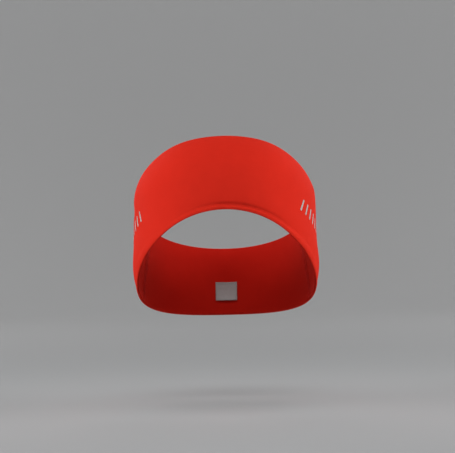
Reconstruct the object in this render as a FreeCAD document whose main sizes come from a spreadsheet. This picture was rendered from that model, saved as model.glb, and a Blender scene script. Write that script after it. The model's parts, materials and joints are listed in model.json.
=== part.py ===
import FreeCAD, Part

# A wide stretch-knit sports headband in the shape it has when worn.
#
# The band is a ring of two fabric layers, an outer shell and a lining, round the upper part of a head. Each
# layer is a front panel and a back panel that meet in two slanted side seams behind the ears. The layers turn in
# at their top and bottom edges, and the seam allowances lie between them, with overlock stitches along their raw
# edges. A reflective print is bonded to each side, and a care label hangs inside the nape from a row of stitches.
#
# The frame is in millimetres: +Z up towards the crown, -Y towards the forehead, +X towards the wearer's left.
# The origin is the centre of the head opening.

import math
import os

import Sketcher

# Driving dimensions: alias, value in mm or degrees, meaning.
DRIVING = [
    ("head_half_width", 77.5, "half the width of the head inside the lining"),
    ("head_half_length", 97.0, "half the length of the head, forehead to back"),
    ("dome_height", 70.0, "height of the head's dome above its widest level"),
    ("drum_depth", 130.0, "depth of the straight walls under the dome"),
    ("head_lean", 15.0, "backward lean of the head's axis"),
    ("widest_level", 13.6, "height of the head's widest level above the origin"),
    ("knit_thickness", 0.7, "thickness of one layer of knit"),
    ("layer_gap", 0.8, "space between the lining and the outer shell"),
    ("allowance_thickness", 0.35, "thickness of one pressed seam allowance"),
    ("allowance_bite", 0.05, "depth that an allowance shares with its own panel"),
    ("bottom_allowance", 4.2, "width of the allowance turned in at the bottom edge"),
    ("top_allowance", 4.0, "width of the allowance turned in at the top edge"),
    ("thread_inset", 0.15, "gap between the hidden overlock stitches and each layer"),
    ("thread_width", 0.7, "width of the overlock stitches"),
    ("thread_margin", 0.3, "gap between the raw edge of an allowance and its overlock stitches"),
    ("piece_gap", 0.05, "gap between a layer and what is sewn or bonded on it"),
    ("panel_gap", 0.1, "gap between the front and back panels in a side seam"),
    ("flatlock_width", 5.0, "width of the flatlock stitching on a side seam"),
    ("flatlock_thickness", 0.35, "thickness of the flatlock stitching"),
    ("flatlock_margin", 1.0, "distance of the flatlock stitching from the band's edges"),
    ("seam_setback", 30.0, "where a side seam crosses the middle of the band"),
    ("seam_level", -31.0, "height of that crossing"),
    ("seam_tilt", 30.0, "lean of a side seam away from upright"),
    ("bottom_slope", 45.2, "fall of the bottom edge from forehead to ear"),
    ("bottom_bend_setback", -85.1, "where the bottom edge starts to level out"),
    ("bottom_bend_level", -3.2, "height of that point"),
    ("bottom_radius", 275.0, "radius in which the bottom edge levels out"),
    ("top_slope", 42.5, "steepest fall of the top edge"),
    ("top_bend_setback", -48.0, "where the top edge is steepest"),
    ("top_bend_level", 64.9, "height of that point"),
    ("brow_radius", 50.0, "radius of the top edge over the forehead"),
    ("top_radius", 427.0, "radius in which the top edge levels out to the back"),
    ("outline_reach", 125.0, "how far a side outline runs in front of and behind the origin"),
    ("block_size", 200.0, "size of the blocks that divide the band"),
    ("print_slope", 28.0, "fall of a print from front to back"),
    ("print_lean", 16.0, "lean of a print's bars"),
    ("print_bar_width", 2.8, "width of one bar"),
    ("print_bar_height", 12.0, "height of one bar"),
    ("print_pitch", 8.0, "distance from bar to bar"),
    ("print_thickness", 0.15, "thickness of the print film"),
    ("left_print_setback", -58.0, "middle of the first bar on the wearer's left"),
    ("left_print_level", 16.0, "height of that bar"),
    ("right_print_setback", -46.0, "middle of the first bar on the wearer's right"),
    ("right_print_level", 9.6, "height of that bar"),
    ("label_width", 20.0, "width of the care label"),
    ("label_height", 16.0, "length of the care label below its stitches"),
    ("label_thickness", 0.4, "thickness of the folded care label"),
    ("label_standoff", 1.2, "distance of the flat label from the curved lining"),
    ("label_drop", 44.0, "distance of the label's free top edge below the widest level"),
    ("stitch_row_width", 18.0, "length of the row of stitches over the label"),
    ("stitch_row_height", 0.8, "height of that row"),
    ("stitch_row_thickness", 0.4, "thickness of that row"),
    ("stitch_row_gap", 0.4, "gap between that row and the label"),
]
PRINT_BARS = 8
LEFT, RIGHT = "left", "right"  # the wearer's left is +X

doc = FreeCAD.newDocument("headband")
sheet = doc.addObject("Spreadsheet::Sheet", "Sizes")
for row, (alias, number, meaning) in enumerate(DRIVING, start=1):
    sheet.set(f"A{row}", alias)
    sheet.set(f"B{row}", str(number))
    sheet.set(f"C{row}", meaning)
    sheet.setAlias(f"B{row}", alias)
doc.recompute()


def size(*aliases):
    """The sum of driving dimensions as a number, for the first shape of a sketch."""
    return sum(float(sheet.get(alias)) for alias in aliases)


def cells(*aliases):
    """The sum of driving dimensions as an expression."""
    return "(" + (" + ".join(f"Sizes.{alias}" for alias in aliases) or "0") + ")"


def bind(item, **expressions):
    """Ties properties of an object to expressions. Two underscores in a property's name stand for a dot."""
    for name, expression in expressions.items():
        item.setExpression(name.replace("__", "."), expression)
    return item


def turned_about_x(item, angle):
    """Gives an object a rotation about X that is tied to an expression in degrees."""
    item.Placement = FreeCAD.Placement(FreeCAD.Vector(), FreeCAD.Rotation(FreeCAD.Vector(1, 0, 0), 1))
    return bind(item, Placement__Rotation__Angle=angle)


def common(name, *shapes):
    """What several objects share."""
    shared = doc.addObject("Part::MultiCommon", name)
    shared.Shapes = list(shapes)
    return shared


def joined(name, *shapes):
    """One object from several that touch, or a group of separate solids."""
    group = doc.addObject("Part::MultiFuse", name)
    group.Shapes = list(shapes)
    return group


# ------------------------------------------------------------ layers that follow the head inside the band


def head_form(name, growth):
    """The head as a solid, grown by an expression in mm: half an ellipsoid on an elliptical drum."""
    dome = bind(
        doc.addObject("Part::Ellipsoid", name + "_dome"),
        Radius1=f"Sizes.dome_height + {growth}",
        Radius2=f"Sizes.head_half_width + {growth}",
        Radius3=f"Sizes.head_half_length + {growth}",
    )
    dome.Angle1 = 0
    rim = bind(
        doc.addObject("Part::Ellipse", name + "_rim"),
        MajorRadius=f"Sizes.head_half_length + {growth}",
        MinorRadius=f"Sizes.head_half_width + {growth}",
    )
    rim.Placement.Rotation = FreeCAD.Rotation(FreeCAD.Vector(0, 0, 1), 90)
    drum = doc.addObject("Part::Extrusion", name + "_drum")
    drum.Base = rim
    drum.DirMode = "Custom"
    drum.Dir = FreeCAD.Vector(0, 0, -1)
    drum.Solid = True
    bind(drum, LengthFwd="Sizes.drum_depth")
    form = turned_about_x(joined(name, dome, drum), "-Sizes.head_lean")
    return bind(form, Placement__Base__z="Sizes.widest_level")


def layer(name, inner, outer):
    """The shell between two growths of the head."""
    shell = doc.addObject("Part::Cut", name)
    shell.Base = head_form(name + "_outside", outer)
    shell.Tool = head_form(name + "_inside", inner)
    return shell


KNIT, GAP, BITE = "Sizes.knit_thickness", "Sizes.layer_gap", "Sizes.allowance_bite"
ALLOWANCE, PIECE_GAP = "Sizes.allowance_thickness", "Sizes.piece_gap"
BAND_FACE = f"2 * {KNIT} + {GAP}"  # growth of the head up to the outside of the outer shell

lining_layer = layer("lining_layer", "0", KNIT)
lining_allowance_layer = layer("lining_allowance_layer", f"{KNIT} - {BITE}", f"{KNIT} + {ALLOWANCE}")
thread_layer = layer("thread_layer", f"{KNIT} + Sizes.thread_inset", f"{KNIT} + {GAP} - Sizes.thread_inset")
outer_allowance_layer = layer(
    "outer_allowance_layer", f"{KNIT} + {GAP} - {ALLOWANCE}", f"{KNIT} + {GAP} + {BITE}"
)
outer_layer = layer("outer_layer", f"{KNIT} + {GAP}", BAND_FACE)
outside_stitch_layer = layer(
    "outside_stitch_layer",
    f"{BAND_FACE} + {PIECE_GAP}",
    f"{BAND_FACE} + {PIECE_GAP} + Sizes.flatlock_thickness",
)
inside_stitch_layer = layer(
    "inside_stitch_layer", f"-{PIECE_GAP} - Sizes.flatlock_thickness", f"-{PIECE_GAP}"
)
print_layer = layer(
    "print_layer",
    f"{BAND_FACE} + {PIECE_GAP}",
    f"{BAND_FACE} + {PIECE_GAP} + Sizes.print_thickness",
)
label_stitch_layer = layer(
    "label_stitch_layer", f"-{PIECE_GAP} - Sizes.stitch_row_thickness", f"-{PIECE_GAP}"
)


# ------------------------------------------------------------ the band's outline, seen from the side


def rule(sketch, expression, kind, *where):
    """Adds a sketch constraint and ties its value to an expression."""
    index = sketch.addConstraint(Sketcher.Constraint(kind, *where))
    sketch.setExpression(f"Constraints[{index}]", expression)


def pin_point(sketch, geometry, point, first, y=None, z=None):
    """Fixes a point of a side outline from the origin. first is its place before the expressions are solved."""
    if y is not None:
        rule(sketch, y, "DistanceX", -1, 1, geometry, point, first[0])
    if z is not None:
        rule(sketch, z, "DistanceY", -1, 1, geometry, point, first[1])


def segment(start, end):
    return Part.LineSegment(FreeCAD.Vector(*start, 0), FreeCAD.Vector(*end, 0))


def arc(centre, radius, start, end):
    """An anticlockwise arc between two angles in degrees."""
    circle = Part.Circle(FreeCAD.Vector(*centre, 0), FreeCAD.Vector(0, 0, 1), radius)
    return Part.ArcOfCircle(circle, math.radians(start), math.radians(end))


def bottom_edge(sketch, *inset):
    """The bottom edge, moved up into the band by the sum of some driving dimensions: a straight fall from the
    forehead, then an arc that levels out. Returns its front and back ends as (geometry, point)."""
    shift, reach = size(*inset), size("outline_reach")
    slope, radius = size("bottom_slope"), size("bottom_radius") - shift
    lean = math.radians(slope)
    bend_y = size("bottom_bend_setback") + shift * math.sin(lean)
    bend_z = size("bottom_bend_level") + shift * math.cos(lean)
    centre = (bend_y + radius * math.sin(lean), bend_z + radius * math.cos(lean))
    back_angle = math.degrees(math.acos((reach - centre[0]) / radius))
    front_z = bend_z + (bend_y + reach) * math.tan(lean)
    fall = sketch.addGeometry(segment((-reach, front_z), (bend_y, bend_z)))
    level = sketch.addGeometry(arc(centre, radius, 270 - slope, 360 - back_angle))
    sketch.addConstraint(Sketcher.Constraint("Tangent", fall, 2, level, 1))
    rule(sketch, "-Sizes.bottom_slope", "Angle", fall, -lean)
    rule(sketch, f"Sizes.bottom_radius - {cells(*inset)}", "Radius", level, radius)
    bend_y_rule = f"Sizes.bottom_bend_setback + {cells(*inset)} * sin(Sizes.bottom_slope)"
    bend_z_rule = f"Sizes.bottom_bend_level + {cells(*inset)} * cos(Sizes.bottom_slope)"
    pin_point(sketch, fall, 2, (bend_y, bend_z), y=bend_y_rule, z=bend_z_rule)
    pin_point(sketch, fall, 1, (-reach, front_z), y="-Sizes.outline_reach")
    pin_point(sketch, level, 2, (reach, bend_z), y="Sizes.outline_reach")
    return (fall, 1), (level, 2)


def top_edge(sketch, *inset):
    """The top edge, moved down into the band by the sum of some driving dimensions: level at the front, an arc
    over the brow, then a wide arc that levels out to the back. Returns its ends as (geometry, point)."""
    shift, reach = size(*inset), size("outline_reach")
    slope = size("top_slope")
    brow_radius, wide_radius = size("brow_radius") - shift, size("top_radius") + shift
    lean = math.radians(slope)
    bend_y = size("top_bend_setback") - shift * math.sin(lean)
    bend_z = size("top_bend_level") - shift * math.cos(lean)
    brow = (bend_y - brow_radius * math.sin(lean), bend_z - brow_radius * math.cos(lean))
    wide = (bend_y + wide_radius * math.sin(lean), bend_z + wide_radius * math.cos(lean))
    back_angle = math.degrees(math.acos((reach - wide[0]) / wide_radius))
    front_z = brow[1] + brow_radius
    start = sketch.addGeometry(segment((-reach, front_z), (brow[0], front_z)))
    over = sketch.addGeometry(arc(brow, brow_radius, 90 - slope, 90))
    level = sketch.addGeometry(arc(wide, wide_radius, 270 - slope, 360 - back_angle))
    sketch.addConstraint(Sketcher.Constraint("Horizontal", start))
    sketch.addConstraint(Sketcher.Constraint("Tangent", start, 2, over, 2))
    sketch.addConstraint(Sketcher.Constraint("Tangent", over, 1, level, 1))
    rule(sketch, f"Sizes.brow_radius - {cells(*inset)}", "Radius", over, brow_radius)
    rule(sketch, f"Sizes.top_radius + {cells(*inset)}", "Radius", level, wide_radius)
    bend_y_rule = f"Sizes.top_bend_setback - {cells(*inset)} * sin(Sizes.top_slope)"
    bend_z_rule = f"Sizes.top_bend_level - {cells(*inset)} * cos(Sizes.top_slope)"
    pin_point(sketch, over, 1, (bend_y, bend_z), y=bend_y_rule, z=bend_z_rule)
    brow_y_rule = "Sizes.top_bend_setback - Sizes.brow_radius * sin(Sizes.top_slope)"
    pin_point(sketch, over, 3, brow, y=brow_y_rule)
    pin_point(sketch, start, 1, (-reach, front_z), y="-Sizes.outline_reach")
    pin_point(sketch, level, 2, (reach, bend_z), y="Sizes.outline_reach")
    return (start, 1), (level, 2)


def outline_block(name, low, high):
    """A wide block whose side outline runs from a low edge curve to a high one. low and high each name
    bottom_edge or top_edge, followed by the driving dimensions that move it into the band."""
    body = doc.addObject("PartDesign::Body", name)
    sketch = body.newObject("Sketcher::SketchObject", name + "_outline")
    plane = next(item for item in body.Origin.OriginFeatures if item.Role == "YZ_Plane")
    sketch.AttachmentSupport = [(plane, "")]
    sketch.MapMode = "FlatFace"
    low_ends = low[0](sketch, *low[1:])
    high_ends = high[0](sketch, *high[1:])
    for bottom, top in zip(low_ends, high_ends):
        side = sketch.addGeometry(Part.LineSegment(sketch.getPoint(*bottom), sketch.getPoint(*top)))
        sketch.addConstraint(Sketcher.Constraint("Coincident", side, 1, *bottom))
        sketch.addConstraint(Sketcher.Constraint("Coincident", side, 2, *top))
    pad = body.newObject("PartDesign::Pad", name + "_pad")
    pad.Profile = sketch
    pad.SideType = "Symmetric"
    bind(pad, Length="Sizes.block_size")
    return body


band_block = outline_block("band_block", (bottom_edge,), (top_edge,))
stitched_block = outline_block(
    "stitched_block", (bottom_edge, "flatlock_margin"), (top_edge, "flatlock_margin")
)
bottom_allowance_block = outline_block(
    "bottom_allowance_block", (bottom_edge,), (bottom_edge, "bottom_allowance")
)
top_allowance_block = outline_block("top_allowance_block", (top_edge, "top_allowance"), (top_edge,))
bottom_thread_block = outline_block(
    "bottom_thread_block",
    (bottom_edge, "bottom_allowance", "thread_margin"),
    (bottom_edge, "bottom_allowance", "thread_margin", "thread_width"),
)
top_thread_block = outline_block(
    "top_thread_block",
    (top_edge, "top_allowance", "thread_margin", "thread_width"),
    (top_edge, "top_allowance", "thread_margin"),
)


# ------------------------------------------------------------ blocks that divide the band at its side seams


def seam_block(name, front, back):
    """A block across the whole head between two distances from the side seams' line, front to back, as
    expressions in mm. It is tilted with the seams, and twice block_size high."""
    block = turned_about_x(doc.addObject("Part::Box", name), "-Sizes.seam_tilt")
    back_shift = f"({front}) * cos(Sizes.seam_tilt) - Sizes.block_size * sin(Sizes.seam_tilt)"
    down_shift = f"({front}) * sin(Sizes.seam_tilt) + Sizes.block_size * cos(Sizes.seam_tilt)"
    return bind(
        block,
        Length="2 * Sizes.block_size",
        Width=f"({back}) - ({front})",
        Height="2 * Sizes.block_size",
        Placement__Base__x="-Sizes.block_size",
        Placement__Base__y=f"Sizes.seam_setback + {back_shift}",
        Placement__Base__z=f"Sizes.seam_level - ({down_shift})",
    )


def side_block(name, side):
    """A block that covers one side of the head."""
    return bind(
        doc.addObject("Part::Box", name),
        Length="Sizes.block_size",
        Width="2 * Sizes.block_size",
        Height="2 * Sizes.block_size",
        Placement__Base__x="0" if side == LEFT else "-Sizes.block_size",
        Placement__Base__y="-Sizes.block_size",
        Placement__Base__z="-Sizes.block_size",
    )


HALVES = {
    "front": seam_block("front_half", "-Sizes.block_size", "-Sizes.panel_gap / 2"),
    "back": seam_block("back_half", "Sizes.panel_gap / 2", "Sizes.block_size"),
}
SIDES = {side: side_block(side + "_half", side) for side in (LEFT, RIGHT)}
flatlock_block = seam_block("flatlock_block", "-Sizes.flatlock_width / 2", "Sizes.flatlock_width / 2")


# ------------------------------------------------------------ fabric panels and hidden overlock stitches


def panel(name, half, knit_layer, allowance_layer):
    """One panel of one layer, with the allowances that it turns in at the bottom and top edges."""
    face = common(name + "_face", knit_layer, band_block, HALVES[half])
    turned_in = [
        common(f"{name}_{block.Name}", allowance_layer, block, HALVES[half])
        for block in (bottom_allowance_block, top_allowance_block)
    ]
    return joined(name, face, *turned_in)


PIECES = []
for half in HALVES:
    PIECES += [
        panel(f"outer_{half}_panel", half, outer_layer, outer_allowance_layer),
        panel(f"lining_{half}_panel", half, lining_layer, lining_allowance_layer),
        common(f"bottom_edge_seam_{half}", thread_layer, bottom_thread_block, HALVES[half]),
        common(f"top_edge_seam_{half}", thread_layer, top_thread_block, HALVES[half]),
    ]


# ------------------------------------------------------------ flatlock side seams

for side, side_half in SIDES.items():
    for where, stitch_layer in (("outer", outside_stitch_layer), ("lining", inside_stitch_layer)):
        name = f"{side}_{where}_flatlock"
        PIECES.append(common(name, stitch_layer, stitched_block, flatlock_block, side_half))


# ------------------------------------------------------------ reflective prints


def print_bar(name, side, index):
    """One bar of a print, as a block through that side of the band."""
    bar = turned_about_x(doc.addObject("Part::Box", name), "-Sizes.print_slope - Sizes.print_lean")
    half_width, half_height = "Sizes.print_bar_width / 2", "Sizes.print_bar_height / 2"
    lean = "(Sizes.print_slope + Sizes.print_lean)"
    along = f"{index} * Sizes.print_pitch"
    middle_y = f"Sizes.{side}_print_setback + {along} * cos(Sizes.print_slope)"
    middle_z = f"Sizes.{side}_print_level - {along} * sin(Sizes.print_slope)"
    return bind(
        bar,
        Length="Sizes.block_size",
        Width="Sizes.print_bar_width",
        Height="Sizes.print_bar_height",
        Placement__Base__x="0" if side == LEFT else "-Sizes.block_size",
        Placement__Base__y=f"{middle_y} - {half_width} * cos{lean} - {half_height} * sin{lean}",
        Placement__Base__z=f"{middle_z} + {half_width} * sin{lean} - {half_height} * cos{lean}",
    )


for side in SIDES:
    bars = [print_bar(f"{side}_print_bar_{index}", side, index) for index in range(PRINT_BARS)]
    PIECES.append(common(f"{side}_reflective_print", print_layer, joined(f"{side}_print_bars", *bars)))


# ------------------------------------------------------------ care label


def nape_block(name, width, thickness, height, inset, drop):
    """A block on the middle of the nape. inset is the distance of its back face from the lining, and drop the
    distance of its top below the widest level, both measured square to the leaning head."""
    block = turned_about_x(doc.addObject("Part::Box", name), "-Sizes.head_lean")
    back = f"(Sizes.head_half_length - ({inset}) - ({thickness}))"
    down = f"(({drop}) + ({height}))"
    fall = f"({back} * sin(Sizes.head_lean) + {down} * cos(Sizes.head_lean))"
    return bind(
        block,
        Length=width,
        Width=thickness,
        Height=height,
        Placement__Base__x=f"-({width}) / 2",
        Placement__Base__y=f"{back} * cos(Sizes.head_lean) - {down} * sin(Sizes.head_lean)",
        Placement__Base__z=f"Sizes.widest_level - {fall}",
    )


PIECES.append(
    nape_block(
        "care_label",
        "Sizes.label_width",
        "Sizes.label_thickness",
        "Sizes.label_height",
        "Sizes.label_standoff",
        "Sizes.label_drop",
    )
)
stitch_row_block = nape_block(
    "stitch_row_block",
    "Sizes.stitch_row_width",
    "2 * Sizes.label_standoff + Sizes.stitch_row_thickness",
    "Sizes.stitch_row_height",
    "-Sizes.label_standoff",
    "Sizes.label_drop - Sizes.stitch_row_gap - Sizes.stitch_row_height",
)
PIECES.append(common("label_stitching", label_stitch_layer, stitch_row_block))


# ------------------------------------------------------------ checks and files

doc.recompute()
for item in doc.Objects:
    if {"Invalid", "Error"} & set(item.State):
        raise RuntimeError(f"{item.Label} failed: {item.State}")
for piece in PIECES:
    shape = piece.Shape
    if shape.isNull() or not shape.isValid() or not shape.Solids:
        raise RuntimeError(f"{piece.Label} has no valid solid")

os.makedirs("parts", exist_ok=True)
for piece in PIECES:
    piece.Shape.exportStep(f"parts/{piece.Label}.step")
    print(f"{piece.Label}: {len(piece.Shape.Solids)} solid(s), {piece.Shape.Volume:.1f} mm3")
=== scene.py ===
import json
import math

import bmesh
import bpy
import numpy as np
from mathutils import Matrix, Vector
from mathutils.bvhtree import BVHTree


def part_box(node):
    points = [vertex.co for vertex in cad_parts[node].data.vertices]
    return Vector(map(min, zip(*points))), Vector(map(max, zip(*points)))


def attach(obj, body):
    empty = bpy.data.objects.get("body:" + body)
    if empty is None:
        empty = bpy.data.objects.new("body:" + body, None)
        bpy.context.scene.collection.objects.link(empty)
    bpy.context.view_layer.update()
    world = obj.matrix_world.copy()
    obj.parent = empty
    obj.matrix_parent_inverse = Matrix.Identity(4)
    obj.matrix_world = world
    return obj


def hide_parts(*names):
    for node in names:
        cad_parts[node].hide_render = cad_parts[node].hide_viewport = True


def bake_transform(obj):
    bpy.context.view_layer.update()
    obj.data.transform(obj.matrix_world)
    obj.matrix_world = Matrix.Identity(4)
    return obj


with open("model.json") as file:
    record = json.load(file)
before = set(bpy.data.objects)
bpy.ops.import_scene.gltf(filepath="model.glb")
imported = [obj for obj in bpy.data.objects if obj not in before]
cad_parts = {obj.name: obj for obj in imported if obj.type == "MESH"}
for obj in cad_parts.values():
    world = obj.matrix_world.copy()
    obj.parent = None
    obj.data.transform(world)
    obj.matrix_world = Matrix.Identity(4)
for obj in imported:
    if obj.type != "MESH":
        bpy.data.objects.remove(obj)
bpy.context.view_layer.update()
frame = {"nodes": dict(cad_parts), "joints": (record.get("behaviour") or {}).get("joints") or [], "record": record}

# The looks of a wide stretch-knit sports headband in its worn shape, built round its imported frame.
#
# Every piece of cloth and thread is laid on one smooth surface, the outside of the band. That
# surface is measured from the frame's outer panels and written in ring coordinates: an azimuth
# round the head opening (0 at the forehead, a quarter turn at the wearer's left) and a share of
# the band's height (0 at the bottom edge, 1 at the top edge). Lengths are in millimetres up to
# the point where a mesh is made.

MM = 0.001


def unit(vector):
    vector = np.asarray(vector, float)
    return vector / np.linalg.norm(vector, axis=-1, keepdims=True)


OPENING = next(mount for mount in frame["record"]["mounts"] if mount["name"] == "head_opening")
STRETCH = next(joint for joint in frame["joints"] if joint["name"] == "band_stretch")
LABEL_FLAP = next(joint for joint in frame["joints"] if joint["name"] == "care_label_flap")
CENTRE = np.array(OPENING["pos_m"]) / MM
UP = -unit(OPENING["axis"])  # square to the ring, towards the crown
BACK = unit(STRETCH["axis"])  # in the ring's plane, from the forehead to the nape
SIDEWAYS = np.cross(BACK, UP)  # towards the wearer's left

RING_RADIUS = 85.0  # the ring's mean radius, for distances round it

KNIT = 0.7  # thickness of a layer
ALLOWANCE = 0.33  # thickness of its turned-in allowance, which is pressed flat
BAND = 2.2  # thickness of the whole band
FOLD_GAP = 0.02  # between a layer and its own turned-in allowance
ROLL = (KNIT + ALLOWANCE + FOLD_GAP) / 2  # radius of the roll in which a layer turns in at an edge
SEAM_GAP = 0.02  # between the front and the back panels
BOTTOM_ALLOWANCE, TOP_ALLOWANCE = 4.2, 4.0  # widths of the turned-in allowances
BOTTOM_FAVOUR, TOP_FAVOUR = 0.9, 0.5  # how far the lining's edges lie inside the shell's


# -------------------- the band's surface, measured from the frame


def outward(azimuth):
    azimuth = np.asarray(azimuth, float)[..., None]
    return np.sin(azimuth) * SIDEWAYS - np.cos(azimuth) * BACK


def shell_tree():
    """A ray-cast tree of the frame's two outer panels, in millimetres."""
    points, faces = [], []
    for node in ("outer_front_panel", "outer_back_panel"):
        mesh = frame["nodes"][node].data
        faces += [[len(points) + corner for corner in face.vertices] for face in mesh.polygons]
        points += [vertex.co / MM for vertex in mesh.vertices]
    return BVHTree.FromPolygons(points, faces)


SHELL = shell_tree()
FAR = 200.0  # a distance from the centre at which the band has ended, whatever the direction
INSIDE_LEVEL = -10.0  # a height at which the band exists all round
PANEL_GAP_ANGLE = 0.004  # wider than the gap between two panels, as seen from the ring's axis
EDGE_HALVINGS = 14
SLOPE_STEP = 1e-3  # a slope is taken over this much azimuth or share to each side


def radius_measured(azimuth, height):
    """Distance from the ring's axis to the outside of the shell, or 0 where the band has ended.
    Three rays side by side, so that one that falls into the gap between two panels does no harm."""
    found = 0.0
    for turn in (-PANEL_GAP_ANGLE, 0, PANEL_GAP_ANGLE):
        level = Vector(CENTRE + height * UP)
        direction = Vector(outward(azimuth + turn))
        hit = SHELL.ray_cast(level + FAR * direction, -direction, FAR)[0]
        if hit is not None:
            found = max(found, (hit - level).dot(direction))
    return found


def edge_measured(azimuth, outside):
    """Height at which the band ends, between INSIDE_LEVEL and a height outside it."""
    inside = INSIDE_LEVEL
    for _ in range(EDGE_HALVINGS):
        middle = (inside + outside) / 2
        if radius_measured(azimuth, middle):
            inside = middle
        else:
            outside = middle
    return inside


EDGE_HARMONICS, RADIUS_HARMONICS, RADIUS_DEGREE = 14, 12, 8  # how fine the fits are
MEASURED_COLUMNS, MEASURED_ROWS = 73, 21
MEASURED_INSET = 0.01  # share by which the outermost rows lie inside the edges


def harmonics(azimuth, count):
    """cos(k azimuth) for k = 0 .. count: enough for a form that is the same left and right."""
    return np.cos(np.asarray(azimuth)[..., None] * np.arange(count + 1))


def basis(azimuth, share):
    """Smooth functions of the place on the band, for a fit that takes out the frame's facets."""
    rise = np.polynomial.chebyshev.chebvander(2 * np.asarray(share) - 1, RADIUS_DEGREE)
    round_ring = harmonics(azimuth, RADIUS_HARMONICS)
    return (round_ring[..., :, None] * rise[..., None, :]).reshape(*rise.shape[:-1], -1)


def fitted(terms, values):
    """Weights of the terms that come nearest to the values."""
    return np.linalg.lstsq(terms, values, rcond=None)[0]


measured_azimuths = np.linspace(0, math.pi, MEASURED_COLUMNS)
measured_edges = [[edge_measured(a, -FAR), edge_measured(a, FAR)] for a in measured_azimuths]
EDGE_FIT = fitted(harmonics(measured_azimuths, EDGE_HARMONICS), np.array(measured_edges))


def edges(azimuth):
    """Heights of the bottom and top edges."""
    both = harmonics(azimuth, EDGE_HARMONICS) @ EDGE_FIT
    return both[..., 0], both[..., 1]


def height_at(azimuth, share):
    low, high = edges(azimuth)
    return low + share * (high - low)


measured_shares = np.linspace(MEASURED_INSET, 1 - MEASURED_INSET, MEASURED_ROWS)
sample_azimuths, sample_shares = np.meshgrid(measured_azimuths, measured_shares)
sample_heights = height_at(sample_azimuths, sample_shares)
sample_radii = np.vectorize(radius_measured)(sample_azimuths, sample_heights).ravel()
RADIUS_FIT = fitted(basis(sample_azimuths.ravel(), sample_shares.ravel()), sample_radii)


def radius_at(azimuth, share):
    """Distance of the band's measured outside from the ring's axis."""
    return basis(azimuth, share) @ RADIUS_FIT


def bare_face(azimuth, share):
    """Points of the band's measured outside."""
    radius = radius_at(azimuth, share)
    height = height_at(azimuth, share)
    return CENTRE + height[..., None] * UP + radius[..., None] * outward(azimuth)


def normals(azimuth, share):
    round_ring = bare_face(azimuth + SLOPE_STEP, share) - bare_face(azimuth - SLOPE_STEP, share)
    upward = bare_face(azimuth, share + SLOPE_STEP) - bare_face(azimuth, share - SLOPE_STEP)
    return unit(np.cross(round_ring, upward))


TABLE_AZIMUTHS = np.linspace(0, 2 * math.pi, 361)
TABLE_STEPS = 96


def cloth_tables():
    """Distances along the cloth, for each azimuth: its length from edge to edge, the part of the
    way up at each share, and the share at each part of the way up."""
    shares = np.linspace(0, 1, TABLE_STEPS + 1)
    grid_azimuths, grid_shares = np.meshgrid(TABLE_AZIMUTHS, shares, indexing="ij")
    points = bare_face(grid_azimuths, grid_shares)
    steps = np.linalg.norm(np.diff(points, axis=1), axis=-1)
    rises = np.concatenate([np.zeros((len(steps), 1)), np.cumsum(steps, axis=1)], axis=1)
    lengths = rises[:, -1]
    way = np.array([np.interp(shares * total, rise, shares) for rise, total in zip(rises, lengths)])
    return lengths, rises / lengths[:, None], way


LENGTHS, PART_AT_SHARE, SHARE_AT_PART = cloth_tables()


def length_at(azimuth):
    """Length of the cloth from the bottom edge to the top edge."""
    return np.interp(azimuth % (2 * math.pi), TABLE_AZIMUTHS, LENGTHS)


def table_value(table, azimuth, part):
    """Bilinear reading of a table of azimuths by parts of the way up."""
    column = azimuth % (2 * math.pi) / (2 * math.pi) * (len(TABLE_AZIMUTHS) - 1)
    row = np.clip(part, 0, 1) * TABLE_STEPS
    left = np.minimum(column.astype(int), len(TABLE_AZIMUTHS) - 2)
    under = np.minimum(row.astype(int), TABLE_STEPS - 1)
    across, above = column - left, row - under
    lower = table[left, under] * (1 - across) + table[left + 1, under] * across
    upper = table[left, under + 1] * (1 - across) + table[left + 1, under + 1] * across
    return lower * (1 - above) + upper * above


def share_at(azimuth, rise):
    """Share of the height at a distance above the bottom edge, along the cloth."""
    return table_value(SHARE_AT_PART, azimuth, rise / length_at(azimuth))


def rise_at(azimuth, share):
    return table_value(PART_AT_SHARE, azimuth, share) * length_at(azimuth)


def share_of_height(azimuth, height):
    low, high = edges(azimuth)
    return (height - low) / (high - low)


def place_near(points):
    """Azimuth and share of the places on the band that points have beside them."""
    offset = points - CENTRE
    azimuth = np.arctan2(offset @ SIDEWAYS, -(offset @ BACK))
    return azimuth, share_of_height(azimuth, offset @ UP)


SEARCH_MARGIN = 0.05  # angle to the forehead and the nape within which from_side finds nothing
SEARCH_HALVINGS = 40


def from_side(setback, level, side):
    """Azimuth and share of the point of the band that is seen at a setback and level (Y and Z)
    from the side. side is 1 for the wearer's left and -1 for the right."""
    offset = np.stack([np.zeros_like(setback), setback, level], axis=-1) - CENTRE
    height, back = offset @ UP, offset @ BACK
    low = np.full_like(height, SEARCH_MARGIN)
    high = np.full_like(height, math.pi - SEARCH_MARGIN)
    for _ in range(SEARCH_HALVINGS):
        middle = (low + high) / 2
        share = share_of_height(middle, height)
        beyond = -radius_at(middle, share) * np.cos(middle) > back
        high = np.where(beyond, middle, high)
        low = np.where(beyond, low, middle)
    return side * middle, share


# -------------------- relief of the worn cloth, over the frame

# How far the lower sides stand off the head, where that is above the bottom edge, and how far
# the bottom edge pulls in again below it.
FLARE_LEFT, FLARE_RIGHT = 1.3, 0.7
FLARE_RISE, FLARE_SPREAD = 17.0, 11.0
GRIP_LEFT, GRIP_RIGHT, GRIP_SPREAD = 1.3, 2.2, 7.0
SIDES_POWER = 6  # how narrowly both keep to the sides

# A hollow at the wearer's right temple and a fuller place at the left one: each with its level
# above the frame's origin. Both are at the same angle from the forehead.
DENT, DENT_LEVEL, DENT_REACH = 1.0, 14.0, 7.0
SWELL, SWELL_LEVEL, SWELL_REACH = 0.6, 30.0, 8.0
TEMPLE_TURN, TEMPLE_SPREAD = 1.35, 0.42

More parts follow.
